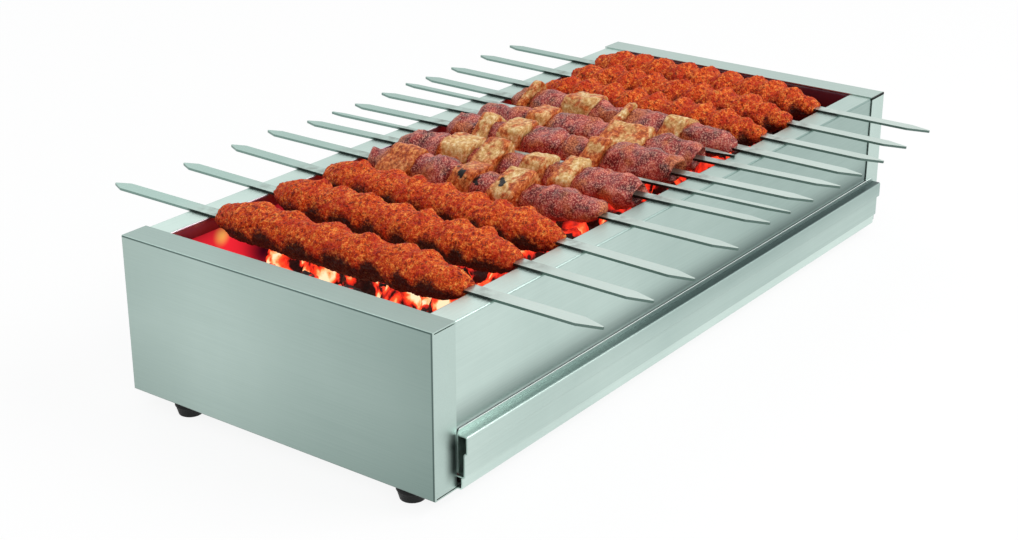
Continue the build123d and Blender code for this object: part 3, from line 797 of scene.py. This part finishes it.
def build_charcoal():
    """Every lump of the CAD heap as a broken piece, hottest low down and at the left end."""
    low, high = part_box("charcoal")
    points, faces, heats = [], [], []
    for seed, (corners, sides) in enumerate(solids("charcoal")):
        skin, skin_faces = lump_skin(corners, sides, seed)
        centre = Vector(corners.mean(0))
        first = len(points)
        points.extend(skin)
        faces.extend([[first + k for k in face] for face in skin_faces])
        own = 0.10 + 0.22 * math.sin(seed * 2.7) + 0.10 * math.sin(seed * 5.1)
        left_end = max(0.0, 1.0 - (centre.x - low.x) / HOT_END_REACH)
        for point in skin:
            rise = (point.z - low.z) / (high.z - low.z)
            out = min(1.0, math.hypot(point.x - centre.x, point.y - centre.y) / LUMP_REACH)
            heats.append(own + 0.20 * left_end + 0.25 * out * (1.0 - rise) - 0.16 * rise)
    piece = new_piece("glowing_charcoal", points, faces, "case", coal_glow)
    add_attribute(piece, "heat", heats)
    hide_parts("charcoal")


def build_ember_bed():
    """Small broken embers that fill in between the lumps."""
    low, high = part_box("charcoal")
    columns = int((high.x - low.x) / EMBER_STEP)
    rows = int((high.y - low.y) / EMBER_STEP)
    points, heats, faces = [], [], []
    for i in range(columns + 1):
        for j in range(rows + 1):
            x = low.x + (high.x - low.x) * i / columns
            y = low.y + (high.y - low.y) * j / rows
            place = Vector((x, y, 0))
            lumpy = noise.voronoi(place * 55.0)[0]
            height = 0.0155 - 0.016 * min(1.0, lumpy[0] * 1.3) + 0.004 * wavy(place, 120.0, 3)
            edge = min(x - low.x, high.x - x, y - low.y, high.y - y) / EMBER_EDGE
            points.append((x, y, low.z + max(0.0006, height + 0.008) * min(1.0, max(0.05, edge))))
            left_end = max(0.0, 1.0 - (x - low.x) / HOT_END_REACH)
            heats.append(0.55 + 0.34 * wavy(place, 14.0, 9) + 0.2 * left_end)
    for i in range(columns):
        for j in range(rows):
            a = i * (rows + 1) + j
            faces.append((a, a + rows + 1, a + rows + 2, a + 1))
    piece = new_piece("ember_bed", points, faces, "case", coal_glow)
    add_attribute(piece, "heat", heats)


build_charcoal()
build_ember_bed()


# Skewers' middle lines, which the food follows

TIP_DEPTH = 0.0006


def blade_line(number):
    """The skewer's middle line: its near and far tips at the middle of the bar's thickness."""
    verts = [v.co for v in nodes[f"skewer_{number}"].data.vertices]
    near = min(v.y for v in verts)
    far = max(v.y for v in verts)
    near_tip = [v for v in verts if v.y < near + TIP_DEPTH]
    far_tip = [v for v in verts if v.y > far - TIP_DEPTH]
    middle = (min(v.z for v in verts) + max(v.z for v in verts)) / 2
    near_x = sum(v.x for v in near_tip) / len(near_tip)
    far_x = sum(v.x for v in far_tip) / len(far_tip)
    return Vector((near_x, near, middle)), Vector((far_x, far, middle))


def on_line(line, y):
    near, far = line
    return near + (far - near) * ((y - near.y) / (far.y - near.y))


# Kofte: mince pressed round the blade, with lengths in metres

KOFTE_SIDES = 96
KOFTE_RING_STEP = 0.0012
# Fullest size as a share of the CAD solid's, and greatest width as a share of the height
KOFTE_FULLEST = 1.20
KOFTE_WIDEST = 1.10
FIRST_CREST = 0.040
CLOSE_CREST_STEP = 0.024
CREST_STEP = 0.034
# Added to the step on the first kofte
LOOSE_STEP = 0.008
# The first crest and the step on the three far kofte, which are pressed into lumps
LUMPY_CRESTS = (0.022, 0.029)
NEAR_ROUNDING = 0.046
LUMPY_ROUNDING = 0.010
FAR_ROUNDING = 0.050
# How deep the fingers pressed and how far the mince sags beside a crest
LUMPY_PRESS = (0.40, 0.08)
NEAR_DEPTH, DEPTH_LOSS, SAG = 0.36, 0.08, 0.28
# Where round a kofte the thumb pinched each crest up, and over how wide an angle
PINCH_TURN = 1.1
PINCH_WIDTH = 0.48


def finger_crests(length, seed, lumpy):
    """Where mince stands up between the fingers, from the near end to past the far end."""
    first, step = LUMPY_CRESTS if lumpy else (FIRST_CREST, CREST_STEP + LOOSE_STEP * (seed == 1))
    crests = [0.0, first + 0.004 * math.sin(seed * 2.1)]
    crests.append(crests[-1] + CLOSE_CREST_STEP)
    while crests[-1] < length + step:
        crests.append(crests[-1] + step + 0.006 * math.sin(seed * 3.7 + len(crests) * 2.3))
    return crests


def pressed(place, crests):
    """The gap and the nearest crest at a place, and how deep the fingers pressed there, from 0 to 1."""
    gap = max(k for k, crest in enumerate(crests) if crest <= place)
    within = ((place - crests[gap]) / (crests[gap + 1] - crests[gap])) ** 1.3
    return gap, gap + (within > 0.5), max(0.0, math.sin(math.pi * within)) ** 0.85


def kofte_ends(along, length, lumpy):
    """How far the ends taper a kofte at a place along it, and how strongly its ridges show there."""
    near = min(1.0, along / (NEAR_ROUNDING + LUMPY_ROUNDING * lumpy))
    far = min(1.0, (length - along) / FAR_ROUNDING)
    taper = (0.30 + 0.70 * (1 - (1 - near) ** 1.7)) * (0.36 + 0.64 * (1 - (1 - far) ** 2))
    return taper, min(1.0, near * (2.6 if lumpy else 1.3), far * 1.2)


def kofte_hollow(along, turn, seed, press, crests):
    """How far the mince is pressed down and sags at a place, and how much of it is pressing."""
    depth, sag = press
    lean = 0.0045 * math.sin(turn + 2.4) + 0.002 * math.sin(2 * turn + seed)
    gap, crest, hollow = pressed(max(0.0, along + lean), crests)
    pushed = depth + 0.05 * math.sin(seed * 1.3 + gap * 2.9) + 0.05 * math.sin(turn + gap * 1.7 + seed)
    off_ridge = abs(turn - PINCH_TURN - 0.25 * math.sin(seed + crest * 2.3))
    slump = sag * (1.0 - math.exp(-(off_ridge / PINCH_WIDTH) ** 2)) * (1.0 - hollow)
    return pushed * hollow + slump, hollow


def kofte_char_and_shade(point, hollow, under, seed):
    """How dark a kofte is at a point, as char and painted shade: most underneath and in the hollows, patchy
    char elsewhere.
    """
    patch = 0.55 + 0.6 * wavy(point, 45.0, seed + 40)
    low_side = max(0.0, min(1.0, (under + 0.36 + 0.50 * (hollow - 0.5)) / 0.80))
    return min(1.0, max(0.0, low_side * (0.70 + patch), 0.5 * (patch - 0.80)))


def build_kofte(number):
    """One kofte: crests between the fingers, each steep towards the near end, and a grainy skin."""
    seed = int(number)
    lumpy = seed > 10
    low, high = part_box(f"kofte_{number}")
    line = blade_line(number)
    start, end = on_line(line, low.y), on_line(line, high.y)
    tube = Tube(start, end, KOFTE_SIDES)
    length = (end - start).length
    radius_z = (high.z - low.z) / 2
    radius_x = min((high.x - low.x) / 2, radius_z * KOFTE_WIDEST)
    crests = finger_crests(length, seed, lumpy)
    rings = int(length / KOFTE_RING_STEP)
    hollows = []
    for ring in range(rings + 1):
        along = length * ring / rings
        taper, fade = kofte_ends(along, length, lumpy)
        press = LUMPY_PRESS if lumpy else (NEAR_DEPTH - DEPTH_LOSS * along / length, SAG)
        points = []
        for turn in tube.turns:
            sunk, hollow = kofte_hollow(along, turn, seed, press, crests)
            size = (KOFTE_FULLEST - sunk * fade) * taper
            across, height = radius_x * size * math.cos(turn), radius_z * size * math.sin(turn)
            points.append(tube.point(along, across, height))
            hollows.append(hollow * fade)
        tube.ring(points)
    tube.close(start + tube.along * 0.0005, end - tube.along * 0.0005)
    hollows.extend([0.0, 0.0])

    def grain(point):
        lumps = (0.5 - noise.voronoi(point * 210.0)[0][0]) * 0.0019
        return wavy(point, 60.0, seed) * 0.0011 + lumps + wavy(point, 420.0, seed) * 0.0008 - 0.0006

    skin = displaced(tube.points, tube.faces, grain)
    piece = new_piece(f"grilled_kofte_{number}", skin, tube.faces, f"kebab_{number}", kofte_brown)
    # Char with painted shade underneath and in the hollows
    char_and_shade = [kofte_char_and_shade(p, hollow, (start.z - p.z) / radius_z, seed) for p, hollow in zip(skin, hollows)]
    add_attribute(piece, "char", char_and_shade)
    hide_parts(f"kofte_{number}")


# Lamb and fat: squashed blocks threaded on the blade, with lengths in metres

CHUNK_SIDES = 64
CHUNK_RING_STEP = 0.0018
# How far neighbours press into each other
CHUNK_OVERLAP = 0.0008
# Squareness of a piece, rounding at its ends, height of its swells and depth of its creases
CHUNK_LOOKS = {"meat": (2.6, 0.0085, 0.0030, 0.0026), "fat": (5.0, 0.0026, 0.0013, 0.0)}
SHORT_MEAT = 0.034
FAT_SWELL = 1.16
# How far the top of a cut face leans towards the near end
CUT_LEAN = 0.0065
BLUNT_DEPTH = 0.010
BLUNT_NEAR_ENDS = ("05", "07", "08")
# How far from its far end a piece of fat is toasted
TOAST_REACH = 0.012
# How toasted each piece of fat is, from near to far
TOASTED = {
    "04": (0.45, 0.80, 0.90),
    "05": (0.20, 0.15, 0.40, 0.20),
    "07": (0.50, 0.20, 0.20),
    "08": (0.55, 0.60),
    "10": (0.25, 0.35, 0.35, 0.30),
}
# Burnt spots of a skewer: place along it, height above its middle and radius
BURNT_SPOTS = {
    "04": ((0.011, 0.0134, 0.0055), (-0.004, 0.010, 0.004), (-0.037, 0.014, 0.0035), (-0.071, 0.018, 0.008)),
}
# How far left of the blade the burnt spots lie
BURNT_SIDE = 0.014
FOOD_RADIUS = 0.019


def chunk_size(kind, along, length, seed, ends):
    """How thick a piece is at a place along it, as a share of its full size."""
    rounding = CHUNK_LOOKS[kind][1]
    left = max(0.0, length - along)
    inward = min(along, left)
    size = 0.52 + 0.48 * math.sqrt(max(0.0, 1 - (1 - min(1.0, inward / rounding)) ** 2))
    if kind == "meat":
        size *= 0.93 + 0.07 * math.sin(2.4 * math.pi * (along / length) * max(1.0, length / 0.04) + seed)
        if length < SHORT_MEAT:
            size *= 0.88
    if "tapered near" in ends:
        size *= 0.46 + 0.54 * min(1.0, along / 0.036) ** 0.75
    if "blunt near" in ends:
        size = max(size, 0.74) * (0.86 + 0.14 * min(1.0, along / 0.02))
    if "far" in ends:
        size *= 0.55 + 0.45 * min(1.0, left / 0.026) ** 0.7
    return size


def chunk_ring(tube, along, reach, seed, kind, slope):
    """One ring of a piece: a squarish outline, turned and shifted a little by its seed."""
    squareness = CHUNK_LOOKS[kind][0]
    spin = seed * 1.9
    shift_across = 0.0012 * math.sin(seed * 4.1)
    shift_up = 0.0012 * math.cos(seed * 2.3)
    points = []
    for turn in tube.turns:
        c, s = math.cos(turn + spin), math.sin(turn + spin)
        square = (abs(c) ** squareness + abs(s) ** squareness) ** (-1 / squareness)
        out = reach * square * 0.97
        across = out * math.cos(turn) * 1.04 + shift_across
        height = out * math.sin(turn) * 0.96 + shift_up
        points.append(tube.point(along + slope * math.sin(turn), across, height))
    return points


def build_chunk(line, span, radius, seed, kind, ends):
    """The skin of one piece, its faces, and how toasted each point is by its place."""
    start, end = on_line(line, span[0] - CHUNK_OVERLAP), on_line(line, span[1] + CHUNK_OVERLAP)
    tube = Tube(start, end, CHUNK_SIDES)
    length = (end - start).length
    rings = max(10, int(length / CHUNK_RING_STEP))
    slope = -CUT_LEAN * (1.0 + 0.3 * math.sin(seed * 3.3))
    stations = [length * ring / rings for ring in range(rings + 1)]
    sizes = [chunk_size(kind, along, length, seed, ends) for along in stations]
    near_point = start + tube.along * 0.001
    if "blunt near" in ends:
        stations = [BLUNT_DEPTH * 0.8, BLUNT_DEPTH * 0.3] + stations
        sizes = [0.34, 0.56] + sizes
        near_point = start + tube.along * BLUNT_DEPTH
    for along, size in zip(stations, sizes):
        tube.ring(chunk_ring(tube, along, radius * size, seed, kind, slope * size))
    tube.close(near_point, end - tube.along * 0.001)
    swell, crease_depth = CHUNK_LOOKS[kind][2:]

    def uneven(point):
        broad = wavy(point, 34.0, seed, 2) * swell
        crease = (1.0 - min(1.0, abs(wavy(point, 26.0, seed + 5, 1)) * 5.0)) ** 2 * crease_depth
        return broad - crease + wavy(point, 120.0, seed) * 0.0009 + wavy(point, 420.0, seed) * 0.0004

    skin = displaced(tube.points, tube.faces, uneven)
    left = [length - (point - start).dot(tube.along) for point in skin]
    return skin, tube.faces, [max(0.0, 1.0 - reach / TOAST_REACH) * 0.9 for reach in left]


def lamb_pieces(number):
    """The pieces on a skewer from near to far: each one's two ends, radius and kind."""
    pieces = []
    for kind in ("meat", "fat"):
        for corners, _ in solids(f"lamb_{kind}_{number}"):
            low, high = corners.min(0), corners.max(0)
            pieces.append((low[1], high[1], (high[0] - low[0] + high[2] - low[2]) / 4, kind))
    return sorted(pieces)


def lamb_char(point, axis, spots):
    """How burnt lamb or fat is at a point: in its own spots, and in patches underneath."""
    under = max(0.0, (axis.z - point.z) / FOOD_RADIUS - 0.35)
    mark = 0.0
    for spot_y, rise, radius in spots:
        sideways = max(0.0, point.x - axis.x + BURNT_SIDE)
        away = math.hypot(point.y - spot_y, point.z - axis.z - rise, sideways)
        away *= 1.0 + 0.8 * wavy(point, 300.0, 8)
        mark = max(mark, min(1.0, 3.0 * max(0.0, 1.0 - away / radius)))
    return min(1.0, max(mark, under * (0.5 + 0.5 * wavy(point, 50.0, 5))))


def build_lamb(number):
    """Every piece of one lamb skewer, from near to far, as one object of meat and one of fat."""
    line = blade_line(number)
    pieces = lamb_pieces(number)
    skins = {kind: ([], [], []) for kind in ("meat", "fat")}
    toasted = iter(TOASTED[number])
    for place, (near, far, radius, kind) in enumerate(pieces):
        ends = []
        if place == 0:
            ends.append("blunt near" if number in BLUNT_NEAR_ENDS else "tapered near")
        if place == len(pieces) - 1:
            ends.append("far")
        own_toast = 0.0
        if kind == "fat":
            radius *= FAT_SWELL
            own_toast = next(toasted)
        skin, faces, toast = build_chunk(line, (near, far), radius, int(number) * 11 + place, kind, ends)
        points, all_faces, toasts = skins[kind]
        first = len(points)
        points.extend(skin)
        all_faces.extend([[first + k for k in face] for face in faces])
        toasts.extend([value + own_toast for value in toast])
    names = {"meat": ("seared_lamb", "lamb", lamb_red), "fat": ("toasted_fat", "tail_fat", fat_cream)}
    for kind, (points, faces, toasts) in skins.items():
        title, slot, finish = names[kind]
        piece = new_piece(f"{title}_{number}", points, faces, f"kebab_{number}", finish)
        spots = BURNT_SPOTS.get(number, ())
        add_attribute(piece, "char", [lamb_char(point, on_line(line, point.y), spots) for point in points])
        add_attribute(piece, "toast", toasts)
        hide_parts(f"lamb_{kind}_{number}")


for number in ("01", "02", "03", "11", "12", "13"):
    build_kofte(number)
for number in ("04", "05", "07", "08", "10"):
    build_lamb(number)


# Floor: pale, with most of the camera's view of it lifted to white and the shadow kept

FLOOR_SIZE = 8.0
FLOOR_WHITE = 0.88


def build_floor():
    bpy.ops.mesh.primitive_plane_add(size=FLOOR_SIZE, location=(0, 0, 0))
    floor = bpy.context.object
    floor.name = "floor"
    pale = Shader("pale_floor")
    pale.set(Base_Color=(0.93, 0.93, 0.93), Roughness=0.9, Specular_IOR_Level=0.1)
    tree = pale.tree
    white = tree.nodes.new("ShaderNodeEmission")
    path = tree.nodes.new("ShaderNodeLightPath")
    blend = tree.nodes.new("ShaderNodeMixShader")
    seen = pale.math("MAXIMUM", path.outputs["Is Camera Ray"], path.outputs["Is Glossy Ray"])
    tree.links.new(pale.times(seen, FLOOR_WHITE), blend.inputs["Fac"])
    tree.links.new(pale.bsdf.outputs["BSDF"], blend.inputs[1])
    tree.links.new(white.outputs["Emission"], blend.inputs[2])
    tree.links.new(blend.outputs["Shader"], tree.nodes["Material Output"].inputs["Surface"])
    floor.data.materials.append(pale.material)


build_floor()


# Light: a white surround and three soft panels

WORLD_LIGHT = (0.97, 0.99, 1.0, 1.0), 0.62
WORLD_SEEN = (1.0, 1.0, 1.0, 1.0), 1.0
PANEL_AIM = Vector((0, 0, 0.1))
# Name, place, size in metres and power in watts
PANELS = (
    ("key_panel", (1.0, -2.0, 2.2), (1.8, 1.4), 46),
    ("fill_panel", (-1.8, -1.4, 1.8), (1.6, 1.2), 14),
    ("back_panel_light", (0.4, 2.0, 2.2), (2.0, 1.2), 12),
)


def build_world():
    """A soft surround that looks white to the camera and in reflections."""
    world = bpy.data.worlds.new("studio")
    bpy.context.scene.world = world
    world.use_nodes = True
    tree = world.node_tree
    tree.nodes.clear()
    output = tree.nodes.new("ShaderNodeOutputWorld")
    path = tree.nodes.new("ShaderNodeLightPath")
    either = tree.nodes.new("ShaderNodeMath")
    either.operation = "MAXIMUM"
    tree.links.new(path.outputs["Is Camera Ray"], either.inputs[0])
    tree.links.new(path.outputs["Is Glossy Ray"], either.inputs[1])
    blend = tree.nodes.new("ShaderNodeMixShader")
    tree.links.new(either.outputs["Value"], blend.inputs["Fac"])
    for socket, (colour, strength) in zip(blend.inputs[1:], (WORLD_LIGHT, WORLD_SEEN)):
        surround = tree.nodes.new("ShaderNodeBackground")
        surround.inputs["Color"].default_value = colour
        surround.inputs["Strength"].default_value = strength
        tree.links.new(surround.outputs["Background"], socket)
    tree.links.new(blend.outputs["Shader"], output.inputs["Surface"])


def soft_panel(name, place, size, power):
    light = bpy.data.lights.new(name, "AREA")
    light.shape = "RECTANGLE"
    light.size, light.size_y = size
    light.energy = power
    lamp = bpy.data.objects.new(name, light)
    lamp.location = place
    lamp.rotation_euler = (PANEL_AIM - Vector(place)).to_track_quat("-Z", "Y").to_euler()
    bpy.context.scene.collection.objects.link(lamp)


build_world()
for panel in PANELS:
    soft_panel(*panel)


# Camera, from the fit to the photo's corners

TARGET = Vector((-0.0472, 0.0104, 0.0530))
AZIMUTH = math.radians(-53.64)
ELEVATION = math.radians(22.54)
ROLL = math.radians(0.07)
DISTANCE = 1.797
LENS = 63.63
SENSOR_WIDTH = 36.0


def build_camera():
    back = Vector((
        math.sin(AZIMUTH) * math.cos(ELEVATION),
        -math.cos(AZIMUTH) * math.cos(ELEVATION),
        math.sin(ELEVATION),
    ))
    data = bpy.data.cameras.new("camera")
    data.lens = LENS
    data.sensor_width = SENSOR_WIDTH
    camera = bpy.data.objects.new("camera", data)
    turn = (-back).to_track_quat("-Z", "Y").to_matrix() @ Matrix.Rotation(ROLL, 3, "Z")
    camera.matrix_world = Matrix.Translation(TARGET + back * DISTANCE) @ turn.to_4x4()
    bpy.context.scene.collection.objects.link(camera)
    bpy.context.scene.camera = camera


build_camera()
bpy.context.scene.view_settings.view_transform = "Standard"
